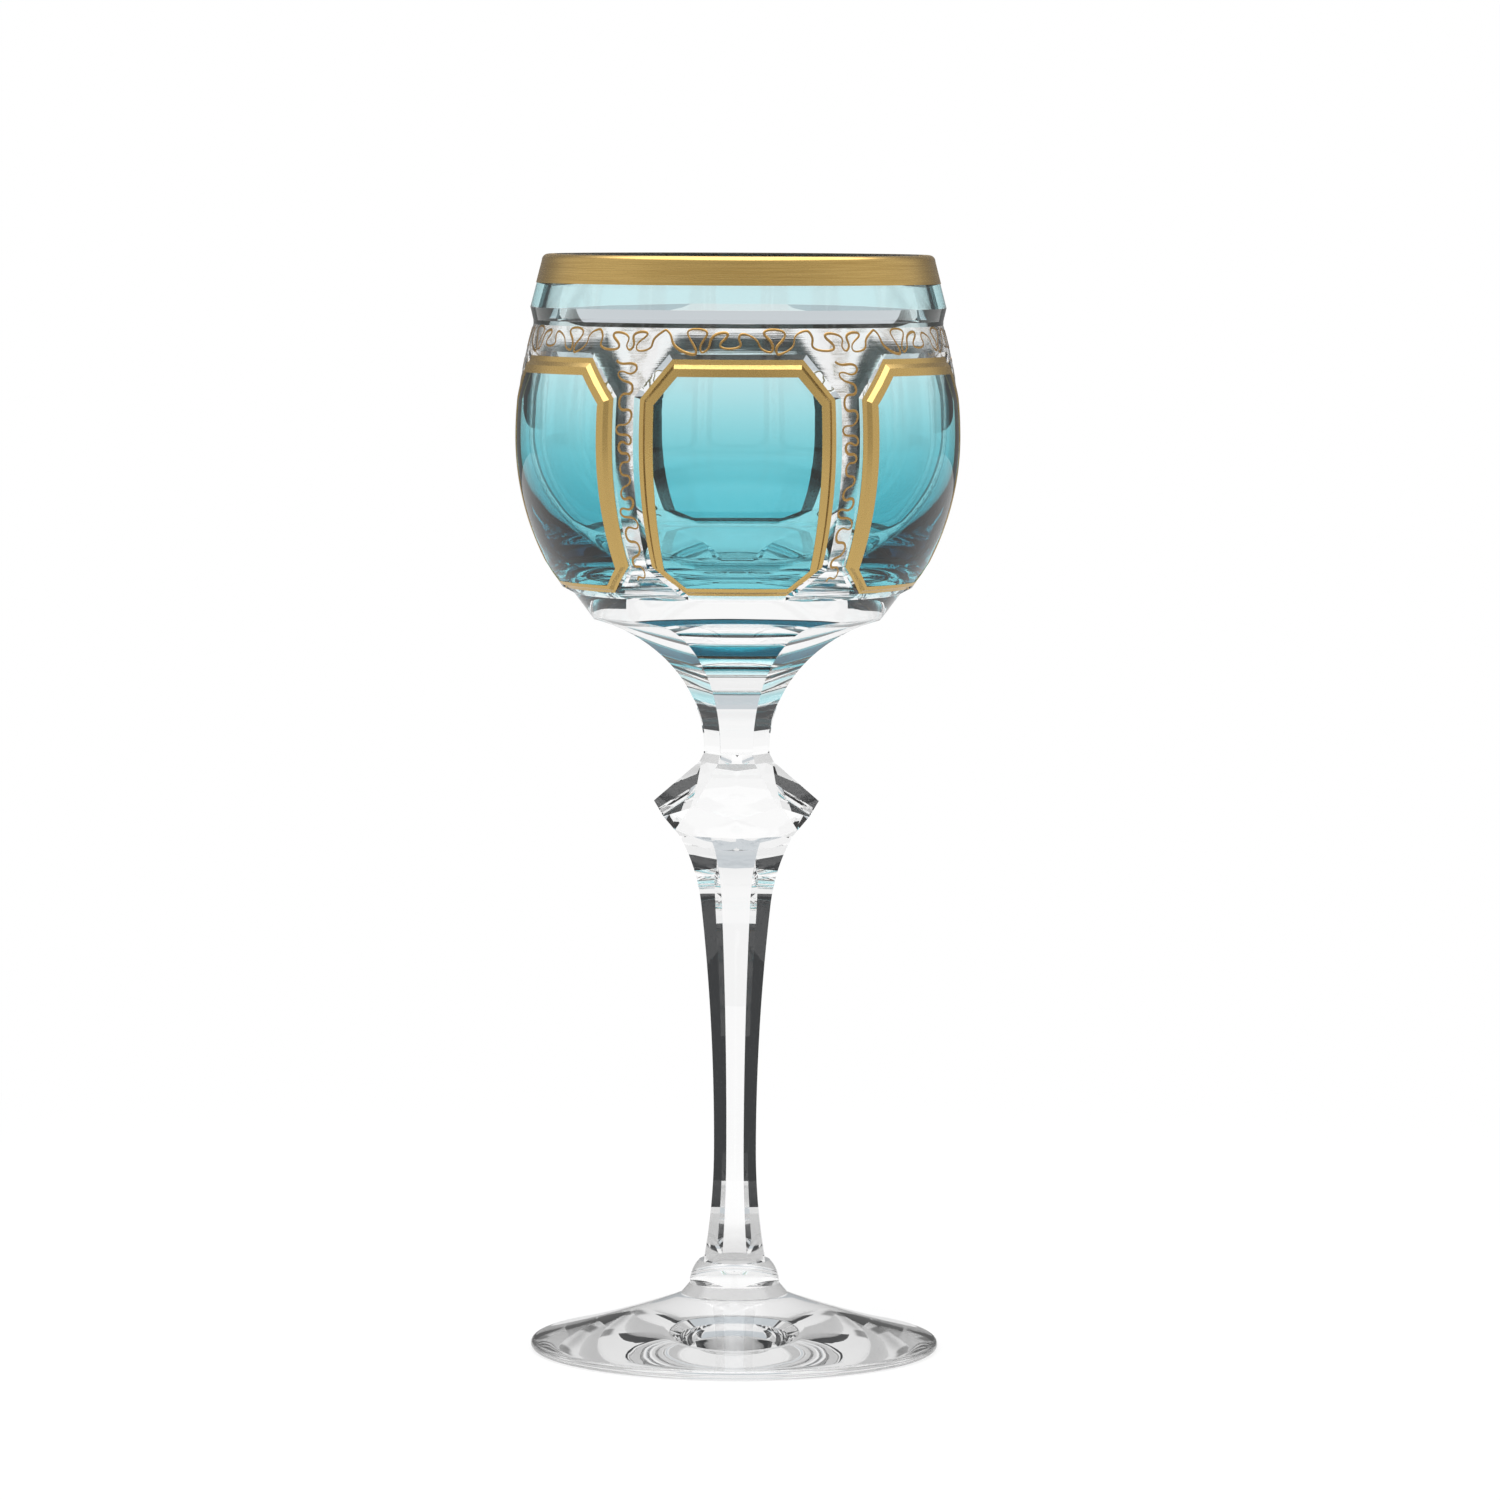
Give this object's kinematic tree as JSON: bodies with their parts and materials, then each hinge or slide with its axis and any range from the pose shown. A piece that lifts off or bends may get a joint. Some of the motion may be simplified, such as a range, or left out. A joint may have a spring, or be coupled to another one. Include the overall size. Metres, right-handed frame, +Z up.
{
  "type": "white wine glass",
  "caption": "Stemmed wine glass with a cased and cut crystal bowl, gilded aqua panels, a pointed knop, a six-sided stem and a round foot; holds a drink and stands on a table.",
  "frame": {"origin": "middle of the foot's flat underside, on the table", "axes": "+Z up along the axis of the glass, -Y towards the front, where one panel faces the viewer"},
  "size_m": [0.0832, 0.0828, 0.205],
  "materials": {
    "crystal": "clear cut and polished lead crystal",
    "aqua_glass": "transparent aqua casing glass, cut and polished",
    "gold": "fired burnished gold with a satin sheen"
  },
  "bodies": {
    "root": {"foot": "crystal", "foot_button": "crystal", "stem": "crystal", "knop": "crystal", "bowl": "crystal", "rim_casing": "aqua_glass", "rim_gilding": "gold", "panel_1": "aqua_glass", "panel_2": "aqua_glass", "panel_3": "aqua_glass", "panel_4": "aqua_glass", "panel_5": "aqua_glass", "panel_6": "aqua_glass", "panel_gilding_1": "gold", "panel_gilding_2": "gold", "panel_gilding_3": "gold", "panel_gilding_4": "gold", "panel_gilding_5": "gold", "panel_gilding_6": "gold"}
  },
  "joints": []
}
